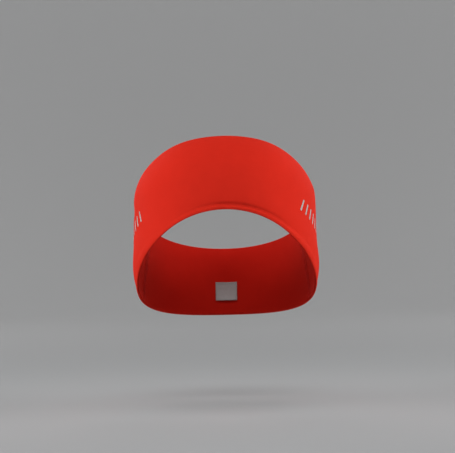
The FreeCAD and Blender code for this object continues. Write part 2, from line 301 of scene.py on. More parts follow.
# The rolls over the turned-in allowances, and how much higher the bottom one is at the forehead.
HEM_CROWN, HEM_WIDTH = 0.3, 4.4
BROW_CROWN = 0.6
TOP_CROWN, TOP_WIDTH = 0.15, 5.0

# The soft fold along the bottom edge beside the face.
FOLD, FOLD_RISE, FOLD_SPREAD = 0.7, 4.6, 2.4
FOLD_TURN, FOLD_REACH = 1.05, 0.32

# The groove over the forehead, where the shell sinks on to the lining. It climbs towards the
# wearer's left, by a length for each radian, and the whole forehead part leans in towards it.
GROOVE, GROOVE_RISE, GROOVE_CLIMB = 0.85, 4.7, 2.1
GROOVE_BELOW, GROOVE_ABOVE = 1.0, 1.7
GROOVE_TURN, GROOVE_RIGHT, GROOVE_LEFT = 0.14, 0.34, 0.55
SINK, SINK_BELOW, SINK_ABOVE = 1.1, 2.5, 5.5
THINNEST = 0.35  # thickness of the shell's knit where it is pressed down

# Waves that the side seams draw into the cloth beside them, and slow ripples everywhere.
PUCKER, PUCKER_PITCH, PUCKER_REACH = 0.2, 7.0, 7.0
RIPPLE = 0.16
RIPPLE_PHASES = np.random.default_rng(7).uniform(0, 2 * math.pi, (6, 2))


def bell(distance, spread):
    return np.exp(-((distance / spread) ** 2))


def turned(azimuth):
    """Azimuth from -pi to pi."""
    return (azimuth + math.pi) % (2 * math.pi) - math.pi


def ridge(rise, width):
    """A rounded roll of a width, from 0 at an edge to 1 in its middle."""
    return np.sin(np.clip(rise / width, 0, 1) * math.pi) ** 2


def from_bottom(azimuth, share):
    """Distance from the bottom edge, square to it."""
    climb = edges(azimuth + SLOPE_STEP)[0] - edges(azimuth - SLOPE_STEP)[0]
    slope = climb / (2 * SLOPE_STEP * RING_RADIUS)
    return rise_at(azimuth, share) / np.hypot(1, slope)


def above_groove(azimuth, share):
    """Distance above the forehead's groove, and the groove's strength, 1 in its middle."""
    aside = turned(azimuth) - GROOVE_TURN
    strength = bell(aside, np.where(aside > 0, GROOVE_LEFT, GROOVE_RIGHT))
    climb = GROOVE_CLIMB * np.clip(turned(azimuth), 0, 1)
    return from_bottom(azimuth, share) - GROOVE_RISE - climb, strength


def ripples(azimuth, share):
    """Waves round the ring and up it, the finer the fainter."""
    total = 0
    for index, (first, second) in enumerate(RIPPLE_PHASES):
        round_ring = np.sin((index + 2) * azimuth + first)
        upward = np.sin((index % 3 + 1) * math.pi * share + second)
        total = total + round_ring * upward / (index + 1)
    return total


def stand_off(azimuth, share):
    """What lifts all the layers together."""
    rise = rise_at(azimuth, share)
    level = bare_face(azimuth, share)[..., 2]
    on_left = np.sin(azimuth) > 0
    flare = np.where(on_left, FLARE_LEFT, FLARE_RIGHT) * bell(rise - FLARE_RISE, FLARE_SPREAD)
    grip = np.where(on_left, GRIP_LEFT, GRIP_RIGHT) * bell(rise, GRIP_SPREAD)
    sides = np.abs(np.sin(azimuth)) ** SIDES_POWER * (flare - grip)
    swell = SWELL * bell(level - SWELL_LEVEL, SWELL_REACH)
    dent = DENT * bell(level - DENT_LEVEL, DENT_REACH)
    at_temple = bell(np.abs(turned(azimuth)) - TEMPLE_TURN, TEMPLE_SPREAD)
    temple = np.where(on_left, swell, -dent) * at_temple
    above, strength = above_groove(azimuth, share)
    sink = SINK * strength * bell(above, np.where(above > 0, SINK_ABOVE, SINK_BELOW))
    beside_seam = (np.abs(turned(azimuth)) - seam_azimuth(share)) * RING_RADIUS
    pucker = PUCKER * np.sin(2 * math.pi * rise / PUCKER_PITCH) * bell(beside_seam, PUCKER_REACH)
    return sides + temple - sink + pucker + RIPPLE * ripples(azimuth, share)


def face_relief(azimuth, share):
    """What shows on the outside only: the rolls at the edges, the groove and the fold."""
    rise = from_bottom(azimuth, share)
    from_top = length_at(azimuth) - rise_at(azimuth, share)
    above, strength = above_groove(azimuth, share)
    groove = GROOVE * strength * bell(above, np.where(above > 0, GROOVE_ABOVE, GROOVE_BELOW))
    hem = (HEM_CROWN + BROW_CROWN * strength) * ridge(rise, HEM_WIDTH)
    beside_face = bell(np.abs(turned(azimuth)) - FOLD_TURN, FOLD_REACH)
    fold = FOLD * bell(rise - FOLD_RISE, FOLD_SPREAD) * beside_face
    return hem + fold + TOP_CROWN * ridge(from_top, TOP_WIDTH) - groove


def laid(azimuth, share, lift):
    """Points at a height above the outside of the worn band."""
    raised = np.asarray(lift) + stand_off(azimuth, share)
    return bare_face(azimuth, share) + raised[..., None] * normals(azimuth, share)


# -------------------- side seams


def node_points(node):
    """All the points of a node of the frame, in millimetres."""
    return np.array([vertex.co[:] for vertex in frame["nodes"][node].data.vertices]) / MM


def seam_line():
    """Two corners of the frame's panels, seen from the side, where a side seam ends."""
    front_points = node_points("outer_front_panel")
    back_points = node_points("outer_back_panel")
    bottom = front_points[front_points[:, 2].argmin()]
    top = back_points[back_points[:, 2].argmax()]
    return bottom[1:], top[1:]


SEAM_BOTTOM, SEAM_TOP = seam_line()
SEAM_UP = unit(SEAM_TOP - SEAM_BOTTOM)
SEAM_BACK = np.array([SEAM_UP[1], -SEAM_UP[0]])  # square to the seam, towards the nape


def behind_seam(points):
    """Distance behind the side seams, seen from the side."""
    return (points[..., 1:] - SEAM_BOTTOM) @ SEAM_BACK


SEAM_SEARCH = np.linspace(math.radians(60), math.radians(160), 401)
SEAM_ROWS = 65


def seam_azimuths():
    """The side seams' azimuth at each share."""
    shares = np.linspace(0, 1, SEAM_ROWS)
    found = []
    for share in shares:
        distance = behind_seam(bare_face(SEAM_SEARCH, np.full_like(SEAM_SEARCH, share)))
        found.append(np.interp(0, distance, SEAM_SEARCH))
    return shares, np.array(found)


SEAM_SHARES, SEAM_AZIMUTHS = seam_azimuths()


def seam_azimuth(share):
    return np.interp(share, SEAM_SHARES, SEAM_AZIMUTHS)


# -------------------- making meshes


ONE_POINT = 0.0005  # points closer than this are one


def make_mesh(name, points, faces, uv=None):
    """An object from points in millimetres. Its coinciding points are joined and its faces turned
    outwards. uv holds two lengths in millimetres for each point, on the cloth."""
    mesh = bpy.data.meshes.new(name)
    mesh.from_pydata((np.asarray(points) * MM).tolist(), [], faces)
    if uv is not None:
        layer = mesh.uv_layers.new(name="cloth_mm")
        corners = np.zeros(len(mesh.loops), np.int32)
        mesh.loops.foreach_get("vertex_index", corners)
        layer.data.foreach_set("uv", np.asarray(uv, np.float32)[corners].ravel())
    cleaned = bmesh.new()
    cleaned.from_mesh(mesh)
    bmesh.ops.remove_doubles(cleaned, verts=cleaned.verts, dist=ONE_POINT * MM)
    bmesh.ops.recalc_face_normals(cleaned, faces=cleaned.faces)
    cleaned.to_mesh(mesh)
    cleaned.free()
    mesh.shade_smooth()
    obj = bpy.data.objects.new(name, mesh)
    bpy.context.scene.collection.objects.link(obj)
    return obj


def sheet_faces(columns, rows, closed=False):
    """Quads over a grid of columns by rows. closed joins the last row to the first one."""
    faces = []
    for start in range(0, (columns - 1) * rows, rows):
        for row in range(rows if closed else rows - 1):
            after = (row + 1) % rows
            faces.append((start + row, start + rows + row, start + rows + after, start + after))
    return faces


def moved_on(faces, start):
    """The same faces for points that come later in a mesh."""
    return [tuple(start + corner for corner in face) for face in faces]


def slab_faces(columns, half):
    """Quads round a swept outline of 2 * half points, half out and half back, and its two ends."""
    rows = 2 * half
    first_end = [(row, row + 1, rows - 2 - row, rows - 1 - row) for row in range(half - 1)]
    last_end = moved_on([face[::-1] for face in first_end], (columns - 1) * rows)
    return sheet_faces(columns, rows, closed=True) + first_end + last_end


# -------------------- knit panels

EDGE_ZONE = 10.0  # at the edges the points lie closer
EDGE_STEPS, MIDDLE_STEPS, ROLL_STEPS, ALLOWANCE_STEPS = 20, 40, 11, 6
PANEL_COLUMNS = {"front": 241, "back": 161}
SETTLING_ROUNDS = 4  # beside a slanted seam azimuth and share depend on each other


def turn_in(allowance):
    """A layer's section at an edge, from the raw edge of its allowance round to its face. Each
    point has the distance from the edge and the depth of the face, and those of the inside."""
    crease = -KNIT - FOLD_GAP
    section = [
        (distance, -2 * ROLL, distance, crease)
        for distance in np.linspace(allowance, 2 * ROLL, ALLOWANCE_STEPS)
    ]
    for turn in np.linspace(-math.pi / 2, math.pi / 2, ROLL_STEPS + 2)[1:-1]:
        distance = ROLL - ROLL * math.cos(turn)
        depth = -ROLL + ROLL * math.sin(turn)
        section.append((distance, depth, 2 * ROLL, crease if turn < 0 else -KNIT))
    for distance in np.linspace(ROLL, EDGE_ZONE, EDGE_STEPS):
        section.append((distance, 0, max(distance, 2 * ROLL), -KNIT))
    return section


def layer_section(bottom_favour, top_favour):
    """A layer's section from its bottom allowance to its top one: part of the way up the cloth,
    then what turn_in gives. The favours are how far the layer's edges lie inside the band's."""
    section = []
    for face, depth, inside, inner_depth in turn_in(BOTTOM_ALLOWANCE - bottom_favour):
        section.append((0, face + bottom_favour, depth, inside + bottom_favour, inner_depth))
    for part in np.arange(1, MIDDLE_STEPS) / MIDDLE_STEPS:
        distance = (1 - part) * (EDGE_ZONE + bottom_favour) - part * (EDGE_ZONE + top_favour)
        section.append((part, distance, 0, distance, -KNIT))
    for face, depth, inside, inner_depth in reversed(turn_in(TOP_ALLOWANCE - top_favour)):
        section.append((1, -face - top_favour, depth, -inside - top_favour, inner_depth))
    return np.array(section).T


def on_panel(half, part, distance):
    """Azimuths and shares of a panel's points: columns from seam to seam by the points of a
    section."""
    across = np.linspace(-1, 1, PANEL_COLUMNS[half])[:, None]
    share = np.broadcast_to(part, (len(across), len(part))).astype(float)
    gap = SEAM_GAP / 2 / RING_RADIUS
    for _ in range(SETTLING_ROUNDS):
        seam = seam_azimuth(share)
        if half == "front":
            azimuth = across * (seam - gap)
        else:
            azimuth = math.pi + across * (math.pi - seam - gap)
        share = share_at(azimuth, part * length_at(azimuth) + distance)
    return azimuth, share


def cloth_uv(half, azimuth, share):
    """Millimetres round the ring and up the cloth, without a jump inside the panel."""
    around = turned(azimuth) if half == "front" else azimuth
    return np.stack([around * RING_RADIUS, rise_at(azimuth, share)], axis=-1)


def knit_panel(name, half, is_lining):
    """One panel of one layer, from raw edge to raw edge. The lining is the shell's section turned
    inside out."""
    favour = (BOTTOM_FAVOUR, TOP_FAVOUR) if is_lining else (0, 0)
    part, face_distance, face_depth, inside_distance, inside_depth = layer_section(*favour)
    face_place = on_panel(half, part, face_distance)
    inside_place = on_panel(half, part, inside_distance)
    if is_lining:
        face = laid(*face_place, -BAND - face_depth)
        inside = laid(*inside_place, -BAND - inside_depth)
    else:
        weight = np.clip(1 + face_depth / KNIT, 0, 1)
        face = laid(*face_place, face_depth + weight * face_relief(*face_place))
        pressed = np.minimum(face_relief(*inside_place) + KNIT - THINNEST, 0)
        inside = laid(*inside_place, inside_depth + pressed)
    points = np.concatenate([face, inside[:, ::-1]], axis=1)
    face_uv = cloth_uv(half, *face_place)
    inside_uv = cloth_uv(half, *inside_place)
    uv = np.concatenate([face_uv, inside_uv[:, ::-1]], axis=1)
    faces = slab_faces(len(points), len(part))
    return make_mesh(name, points.reshape(-1, 3), faces, uv.reshape(-1, 2))


# -------------------- small pieces laid on the cloth


THREAD_CORNERS = 6
THREAD_TAPER = 0.45  # of its radius at both ends


def on_seam(side, along, across):
    """Azimuth and share of points by a side seam, from millimetres up the seam and behind it as
    seen from the side."""
    setback = SEAM_BOTTOM[0] + along * SEAM_UP[0] + across * SEAM_BACK[0]
    level = SEAM_BOTTOM[1] + along * SEAM_UP[1] + across * SEAM_BACK[1]
    return from_side(setback, level, side)


def thread_points(azimuth, share, lift, radius):
    """Tubes round lines of points on the cloth: an array of lines by points by corners."""
    centre = laid(azimuth, share, lift)
    along = unit(np.gradient(centre, axis=1))
    across = unit(np.cross(along, normals(azimuth, share)))
    upward = np.cross(across, along)
    turns = np.arange(THREAD_CORNERS) * 2 * math.pi / THREAD_CORNERS
    ends = np.ones(centre.shape[1])
    ends[[0, -1]] = THREAD_TAPER
    sideways = np.cos(turns)[:, None] * across[:, :, None]
    upright = np.sin(turns)[:, None] * upward[:, :, None]
    return centre[:, :, None] + radius * ends[None, :, None, None] * (sideways + upright)


def thread_mesh(name, bundles):
    """One piece from bundles of threads, each an array from thread_points."""
    points, faces, uv = [], [], []
    count = 0
    for bundle in bundles:
        lines, length, corners, _ = bundle.shape
        points.append(bundle.reshape(-1, 3))
        way = np.linalg.norm(np.diff(bundle.mean(2), axis=1), axis=-1).cumsum(1)
        way = np.concatenate([np.zeros((lines, 1)), way], axis=1)
        turn = np.arange(corners) / corners
        way, turn = np.broadcast_arrays(way[:, :, None], turn[None, None, :])
        uv.append(np.stack([way, turn], axis=-1).reshape(-1, 2))
        first_cap = tuple(range(corners))
        last_cap = tuple(reversed(range((length - 1) * corners, length * corners)))
        tube = sheet_faces(length, corners, closed=True) + [first_cap, last_cap]
        for _ in range(lines):
            faces += moved_on(tube, count)
            count += length * corners
    return make_mesh(name, np.concatenate(points), faces, np.concatenate(uv))


# -------------------- flatlock side seams

FLATLOCK_HALF = 2.3  # half of the stitching's width
FLATLOCK_PITCH = 1.9
FLATLOCK_MARGIN = 1.4  # from the band's edges
NEEDLE_ROWS, NEEDLE_INSET = 4, 0.35
NEEDLE_GAP = 0.06  # part of the pitch between a stitch and the next one, at each end
NEEDLE_THREAD, COVER_THREAD = 0.16, 0.12
NEEDLE_LOW, NEEDLE_ARCH, NEEDLE_POWER = 0.08, 0.26, 0.6  # height of the ends, rise, its shape
NEEDLE_STEPS, COVER_STEPS = 7, 13
COVERS = ((1, 0.0, 0.17), (-1, 0.5, 0.13))  # side where each starts, part of the pitch, height


def flatlock(name, side, is_lining):
    """Four rows of needle stitches, and two cover threads that cross the seam to and fro beneath
    them."""
    length = np.linalg.norm(SEAM_TOP - SEAM_BOTTOM) - 2 * FLATLOCK_MARGIN
    stitches = int(length / FLATLOCK_PITCH)
    pitch = length / stitches
    starts = FLATLOCK_MARGIN + pitch * np.arange(stitches)[:, None]

    def sewn(along, across, height, radius):
        """Threads at millimetres up the seam and behind it, and above the layer's face."""
        azimuth, share = on_seam(side, along, across)
        if is_lining:
            return thread_points(azimuth, share, -BAND - height, radius)
        return thread_points(azimuth, share, height + face_relief(azimuth, share), radius)

    bundles = []
    bend = np.linspace(0, 1, NEEDLE_STEPS)
    arch = NEEDLE_LOW + NEEDLE_ARCH * np.sin(math.pi * bend) ** NEEDLE_POWER
    outermost = FLATLOCK_HALF - NEEDLE_INSET
    for row in np.linspace(-outermost, outermost, NEEDLE_ROWS):
        along = starts + pitch * (NEEDLE_GAP + (1 - 2 * NEEDLE_GAP) * bend)
        bundles.append(sewn(along, np.full_like(along, row), arch, NEEDLE_THREAD))
    swing = np.linspace(0, 1, COVER_STEPS)
    for direction, lag, height in COVERS:
        along = np.minimum(starts + pitch * (swing + lag), FLATLOCK_MARGIN + length)
        to_and_fro = -direction * FLATLOCK_HALF * np.cos(2 * math.pi * swing)
        across = np.broadcast_to(to_and_fro, along.shape)
        bundles.append(sewn(along, across, np.full_like(along, height), COVER_THREAD))
    return thread_mesh(name, bundles)


# -------------------- hidden overlocking of the edge allowances

OVERLOCK_PITCH, OVERLOCK_THREAD = 2.4, 0.11
OVERLOCK_INSET, OVERLOCK_SWING = 0.45, 0.3  # beyond the raw edge, and to each side of that
OVERLOCK_DEPTH, OVERLOCK_SWELL = 1.3, 0.07
OVERLOCK_END = 0.03  # angle between the last loop and a side seam
LOOP_STEPS = 8


def overlock(name, half, at_top):
    """Loops of thread along the raw edges of the allowances, in the space between the layers."""
    inset = (TOP_ALLOWANCE if at_top else BOTTOM_ALLOWANCE) + OVERLOCK_INSET
    seam = seam_azimuth(1.0 if at_top else 0.0)
    if half == "front":
        middle, reach = 0, seam - OVERLOCK_END
    else:
        middle, reach = math.pi, math.pi - seam - OVERLOCK_END
    loops = int(2 * reach * RING_RADIUS / OVERLOCK_PITCH)
    steps = np.linspace(0, loops, loops * LOOP_STEPS + 1)[None, :]
    azimuth = middle + reach * (2 * steps / loops - 1)
    swing = OVERLOCK_SWING * np.cos(2 * math.pi * steps)
    depth = -OVERLOCK_DEPTH + OVERLOCK_SWELL * np.sin(2 * math.pi * steps)
    rise = length_at(azimuth) - inset + swing if at_top else inset + swing
    share = share_at(azimuth, rise)
    return thread_mesh(name, [thread_points(azimuth, share, depth, OVERLOCK_THREAD)])


# -------------------- reflective prints

BARS = 8
BAR_WIDTH, BAR_HEIGHT = 1.9, 12.0
BAR_LEAN = math.radians(16)  # from square to the row
BAR_CORNER = 0.7
BAR_CORNER_STEPS, BAR_MIDDLE_STEPS, BAR_COLUMNS = 4, 10, 5
FILM_UNDER, FILM_TOP = 0.02, 0.14  # above the knit
ROW_SLOPE_GUESS, ROW_SLOPE_ROUNDS = math.radians(28), 3


def bar_outline():
    """Half widths of a bar at heights from its bottom to its top, with rounded corners."""
    turns = np.linspace(0, math.pi / 2, BAR_CORNER_STEPS + 1)
    rounding = BAR_CORNER * np.sin(turns)
    rising = BAR_CORNER * (1 - np.cos(turns))
    top, straight = BAR_HEIGHT / 2, BAR_HEIGHT / 2 - BAR_CORNER
    middle = np.linspace(-straight, straight, BAR_MIDDLE_STEPS + 2)[1:-1]
    heights = np.concatenate([-top + rising, middle, top - rising[::-1]])
    beside = [rounding, np.full(len(middle), BAR_CORNER), rounding[::-1]]
    return heights, BAR_WIDTH / 2 - BAR_CORNER + np.concatenate(beside)


def bar_row(span):
    """The bars' tilt, one bar's extent, and the way from the first bar's middle to the last one's,
    for a row of a span as seen from the side. The row's slope and the tilt set each other."""
    slope = ROW_SLOPE_GUESS
    for _ in range(ROW_SLOPE_ROUNDS):
        tilt = slope + BAR_LEAN
        along = BAR_WIDTH * math.cos(tilt) + BAR_HEIGHT * math.sin(tilt)
        upward = BAR_WIDTH * math.sin(tilt) + BAR_HEIGHT * math.cos(tilt)
        extent = np.array([along, upward])
        run = span - extent
        slope = math.atan2(run[1], run[0])
    return tilt, extent, run


def print_film(name, node, side):
    """A row of slanted bars along the band, where the frame has them."""
    low, high = (np.array(corner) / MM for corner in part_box(node))
    tilt, extent, run = bar_row(high[1:] - low[1:])
    first = np.array([low[1], high[2]]) + extent * (0.5, -0.5)
    bar_up = np.array([math.sin(tilt), math.cos(tilt)])
    bar_right = np.array([math.cos(tilt), -math.sin(tilt)])
    heights, widths = bar_outline()
    sideways = widths[:, None] * np.linspace(-1, 1, BAR_COLUMNS)
    bar = heights[:, None, None] * bar_up + sideways[..., None] * bar_right
    one_bar = slab_faces(len(heights), BAR_COLUMNS)
    points, faces, uv = [], [], []
    for index in range(BARS):
        flat = first + run * (1, -1) * index / (BARS - 1) + bar
        azimuth, share = from_side(flat[..., 0], flat[..., 1], side)
        relief = face_relief(azimuth, share)
        top = laid(azimuth, share, relief + FILM_TOP)
        under = laid(azimuth, share, relief + FILM_UNDER)
        points.append(np.concatenate([top, under[:, ::-1]], axis=1).reshape(-1, 3))
        uv.append(np.concatenate([flat, flat[:, ::-1]], axis=1).reshape(-1, 2))
        faces += moved_on(one_bar, index * len(points[0]))
    return make_mesh(name, np.concatenate(points), faces, np.concatenate(uv))


# -------------------- care label

RIBBON = 0.14  # its thickness
LABEL_MARGIN = 1.6  # the sewn part above the hinge line
LABEL_FOLD = 0.32  # radius of the fold at the free end
LABEL_COLUMNS, LABEL_ROWS, LABEL_FOLD_STEPS = 21, 26, 7
LABEL_PRESSED, LABEL_OPENING = 0.75, 3.0  # how flat the sewn end is, and how soon that ends
LABEL_CLEAR, LABEL_LIFT = 0.55, 0.5  # its distance from the lining, and more at the free end
LABEL_CURL, LABEL_WAVE, LABEL_WAVE_TURN = 1.1, 0.35, 5.0  # curl inwards, uneven across it
LABEL_UV_STEP = 0.7  # millimetres of ribbon from one row to the next, about


def label_frame():
    """The hinge line's middle, the ways down the label and square to it, its width and length."""
    low, high = (np.array(corner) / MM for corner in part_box("care_label"))
    hinge = np.array(LABEL_FLAP["pos_m"]) / MM
    lean = math.atan2(high[1] - low[1] - 2 * RIBBON, high[2] - low[2])
    down = np.array([0, -math.sin(lean), -math.cos(lean)])
    inward = np.array([0, -math.cos(lean), math.sin(lean)])
    length = (high[2] - low[2]) / math.cos(lean)
    return hinge, down, inward, high[0] - low[0], length


def lining_behind(points):
    """Distance of points from the lining behind them, along the back direction."""
    offset = points - CENTRE
    return radius_at(*place_near(points)) - BAND - np.hypot(offset @ BACK, offset @ SIDEWAYS)


def ribbon_section(length):
    """The middle of the ribbon's thickness from one sewn end to the other: distances below the
    hinge line and from the label's middle."""
    straight = np.linspace(-LABEL_MARGIN, length - LABEL_FOLD, LABEL_ROWS)
    way = [(distance, -LABEL_FOLD) for distance in straight]
    for turn in np.linspace(-math.pi / 2, math.pi / 2, LABEL_FOLD_STEPS + 2)[1:-1]:
        fall = length - LABEL_FOLD + LABEL_FOLD * math.cos(turn)
        way.append((fall, LABEL_FOLD * math.sin(turn)))
    return np.array(way + [(distance, LABEL_FOLD) for distance in straight[::-1]])


def care_label():
    """A blank satin ribbon, folded in two at its free end and sewn down at its top end."""
    hinge, down, inward, width, length = label_frame()
    across = np.linspace(-width / 2, width / 2, LABEL_COLUMNS)
    way = ribbon_section(length)
    tangent = unit(np.gradient(way, axis=0))
    square_to_way = np.stack([-tangent[:, 1], tangent[:, 0]], axis=-1)
    sheets = []
    for face in (1, -1):
        fall, stand = (way + face * RIBBON / 2 * square_to_way).T[..., None]
        from_end = np.clip(fall + LABEL_MARGIN, 0, None)
        opened = 1 - LABEL_PRESSED * np.exp(-from_end / LABEL_OPENING)
        free = np.clip(fall / length, 0, 1)
        wave = 1 + LABEL_WAVE * np.cos(across / width * LABEL_WAVE_TURN)
        curl = LABEL_CURL * free ** 2 * wave
        base = hinge + fall[..., None] * down + across[:, None] * np.array([1.0, 0, 0])
        lift = stand * opened + curl + LABEL_CLEAR + LABEL_LIFT * free - lining_behind(base)
        sheets.append(base + inward * lift[..., None])
    outer, inner = sheets
    points = np.concatenate([outer, inner[:, ::-1]], axis=1)
    rows = np.arange(len(way)) * LABEL_UV_STEP
    flat = np.stack(np.meshgrid(across, rows), axis=-1)
    uv = np.concatenate([flat, flat[:, ::-1]], axis=1)
    faces = slab_faces(len(way), LABEL_COLUMNS)
    return make_mesh("care_label_ribbon", points.reshape(-1, 3), faces, uv.reshape(-1, 2))


STITCHES, STITCH_STEPS = 9, 9
STITCH_GAP = 0.1  # part of the pitch between a stitch and the next one, at each end
STITCH_ARCH, STITCH_SUNK, STITCH_THREAD = 1.25, 0.1, 0.2  # rise, depth of the ends, radius


def label_stitches():
    """A row of running stitches through the label's sewn margin into the lining."""
    hinge, down, _, _, _ = label_frame()
    low, high = (np.array(corner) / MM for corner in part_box("label_stitching"))
    pitch = (high[0] - low[0]) / STITCHES
    bend = np.linspace(0, 1, STITCH_STEPS)
    starts = low[0] + pitch * np.arange(STITCHES)
    sideways = starts[:, None] + pitch * (STITCH_GAP + (1 - 2 * STITCH_GAP) * bend)
    row = hinge - LABEL_MARGIN / 2 * down
    azimuth, share = place_near(row + sideways[..., None] * np.array([1.0, 0, 0]))
    arch = STITCH_ARCH * np.sin(math.pi * bend) ** 0.5 - STITCH_SUNK
    threads = thread_points(azimuth, share, -BAND - arch, STITCH_THREAD)
    return thread_mesh("label_stitches", [threads])


# -------------------- materials


class Finish:
    """A procedural material: a Principled shader and short calls for the nodes that feed it."""

    def __init__(self, name):
        self.material = bpy.data.materials.new(name)
        self.material.use_nodes = True
        self.tree = self.material.node_tree
        self.shader = self.tree.nodes["Principled BSDF"]

    def node(self, kind, inputs=(), **settings):
        made = self.tree.nodes.new(kind)
        for setting, value in settings.items():
            setattr(made, setting, value)
        for socket, value in dict(inputs).items():
            self.feed(made.inputs[socket], value)
        return made

    def feed(self, socket, value):
        if isinstance(value, bpy.types.NodeSocket):
            self.tree.links.new(value, socket)
        else:
            socket.default_value = value

    def set(self, **inputs):
        for name, value in inputs.items():
            self.feed(self.shader.inputs[name.replace("_", " ")], value)

    def maths(self, operation, first, second=0.0):
        return self.node("ShaderNodeMath", {0: first, 1: second}, operation=operation).outputs[0]

    def wave(self, turns):
        """The sine of a number of whole turns."""
        return self.maths("SINE", self.maths("MULTIPLY", turns, 2 * math.pi))

    def place(self):
        return self.node("ShaderNodeTexCoord").outputs["Object"]

    def noise(self, scale, detail=2.0, roughness=0.5):
        """Noise from 0 to 1. The scale is in grains to the metre."""
        inputs = {"Vector": self.place(), "Scale": scale, "Detail": detail, "Roughness": roughness}
        return self.node("ShaderNodeTexNoise", inputs).outputs["Fac"]

    def between(self, value, low, high):
        """A value from 0 to 1 as one from low to high."""
        inputs = {"Value": value, "To Min": low, "To Max": high}
        return self.node("ShaderNodeMapRange", inputs).outputs["Result"]

    def colour_mix(self, share, first, second):
        """One colour turning into another. A colour mix has them at sockets 6 and 7."""
        inputs = {"Factor": share, 6: (*first, 1), 7: (*second, 1)}
        return self.node("ShaderNodeMix", inputs, data_type="RGBA").outputs[2]

    def darkened(self, colour, share):
        """A colour times a value from 0 to 1."""
        inputs = {0: colour, 3: share}
        return self.node("ShaderNodeVectorMath", inputs, operation="SCALE").outputs[0]

    def bump(self, height, depth, strength, under=None):
        """Relief of a depth in millimetres, over other relief if there is any."""
        inputs = {"Height": height, "Distance": depth * MM, "Strength": strength}
        if under is not None:
            inputs["Normal"] = under
        return self.node("ShaderNodeBump", inputs).outputs["Normal"]

    def in_hollows(self, reach):
        """1 in the open and less in a hollow narrower than a reach in millimetres."""
        kind = "ShaderNodeAmbientOcclusion"
        return self.node(kind, {"Distance": reach * MM}, only_local=True, samples=8).outputs["AO"]

    def cloth_place(self):
        """The two lengths of a piece's cloth_mm: for most, millimetres round the band and up it."""
        place = self.node("ShaderNodeSeparateXYZ", {0: self.node("ShaderNodeUVMap").outputs["UV"]})
        return place.outputs["X"], place.outputs["Y"]


WALE, COURSE = 0.62, 0.5  # width and height of a knit loop
LOOP_SLANT, LOOP_RELIEF = 1.3, 0.35  # of a loop's legs, and of the loops against the legs
# Painted shadow in the hollows: how far the occlusion looks in millimetres, the power it is raised to, and the
# darkest share of the colour it leaves.
HOLLOW_REACH, HOLLOW_POWER, HOLLOW_DARKEST = 4.0, 1.8, 0.2
FUZZ_TINT = (1.0, 0.16, 0.10, 1.0)


def knit(name, light, dark, fuzz):
    """A fine smooth jersey: columns of V-shaped loops with painted shade over them, a slight
    unevenness of dye, painted shadow in the hollows and a soft bloom of fibre ends."""
    finish = Finish(name)
    around, upward = finish.cloth_place()
    column = finish.maths("FRACT", finish.maths("DIVIDE", around, WALE))
    from_middle = finish.maths("ABSOLUTE", finish.maths("SUBTRACT", column, 0.5))
    slant = finish.maths("MULTIPLY", from_middle, LOOP_SLANT)
    loops = finish.wave(finish.maths("ADD", finish.maths("DIVIDE", upward, COURSE), slant))
    raised_loops = finish.maths("MULTIPLY", loops, LOOP_RELIEF)
    knit_height = finish.maths("ADD", raised_loops, finish.wave(from_middle))
    dye = finish.between(finish.noise(scale=90.0, detail=4.0, roughness=0.6), low=0.25, high=0.95)
    # Painted shade over the knit's loops: the colour turns darker where the loop relief is high.
    raised = finish.between(knit_height, low=0.0, high=0.16)
    colour = finish.colour_mix(finish.maths("SUBTRACT", dye, raised), dark, light)
    # Painted shadow: the base colour is darkened in hollows that ambient occlusion finds.
    painted_hollow_shade = finish.maths("POWER", finish.in_hollows(HOLLOW_REACH), HOLLOW_POWER)
    weave = finish.bump(knit_height, depth=0.06, strength=0.5)
    fibres = finish.noise(scale=700.0, detail=3.0, roughness=0.6)
    finish.set(
        Base_Color=finish.darkened(colour, finish.between(painted_hollow_shade, low=HOLLOW_DARKEST, high=1.0)),
        Roughness=finish.between(finish.noise(scale=160.0, detail=3.0), low=0.72, high=0.86),
        Specular_IOR_Level=0.02,
        Sheen_Weight=fuzz,
        Sheen_Roughness=0.45,
        Sheen_Tint=FUZZ_TINT,
        Normal=finish.bump(fibres, depth=0.1, strength=0.35, under=weave),
    )
    return finish.material


TWISTS, PLIES = 2.2, 2.0  # turns of a thread in a millimetre, and how many plies it has


def thread(name, colour, dark):
    """Twisted sewing thread: fine slanting grooves round it, with painted shade in them."""
    finish = Finish(name)
    along, turn = finish.cloth_place()
    twisted = finish.maths("MULTIPLY", along, TWISTS)
    groove = finish.wave(finish.maths("ADD", twisted, finish.maths("MULTIPLY", turn, PLIES)))
    # Painted shade: the colour turns dark in the grooves between the plies.
    painted_groove_shade = finish.between(groove, low=0.35, high=0.6)
    unevenness = finish.between(finish.noise(scale=900.0), low=-0.1, high=0.3)
    finish.set(
        Base_Color=finish.colour_mix(finish.maths("ADD", painted_groove_shade, unevenness), dark, colour),
        Roughness=0.6,
        Specular_IOR_Level=0.12,
        Sheen_Weight=0.1,
        Sheen_Tint=(*colour, 1.0),
        Normal=finish.bump(groove, depth=0.03, strength=0.6),
    )
    return finish.material


def reflective_film(name, light, dark):
    """A grey transfer film full of tiny glass beads with painted glints on them, slightly cracked and rubbed."""
    finish = Finish(name)
    inputs = {"Vector": finish.place(), "Scale": 5200.0}
    beads = finish.node("ShaderNodeTexVoronoi", inputs).outputs["Distance"]
    rub = finish.noise(scale=420.0, detail=5.0, roughness=0.7)
    # Painted glints: the colour turns light in the middle of each bead. shade holds them together with the rubbed
    # wear.
    painted_glints = finish.between(beads, low=0.55, high=0.1)
    shade = finish.maths("ADD", painted_glints, finish.between(rub, low=0.0, high=0.6))
    finish.set(
        Base_Color=finish.colour_mix(shade, dark, light),
        Metallic=0.15,
        Roughness=finish.between(rub, low=0.38, high=0.62),
        Specular_IOR_Level=0.5,
        Normal=finish.bump(beads, depth=0.03, strength=0.4),
    )
    return finish.material


WARP, FLOAT_THREADS, FLOAT_LENGTH = 0.24, 5, 1.1  # one thread, threads to a repeat, its length


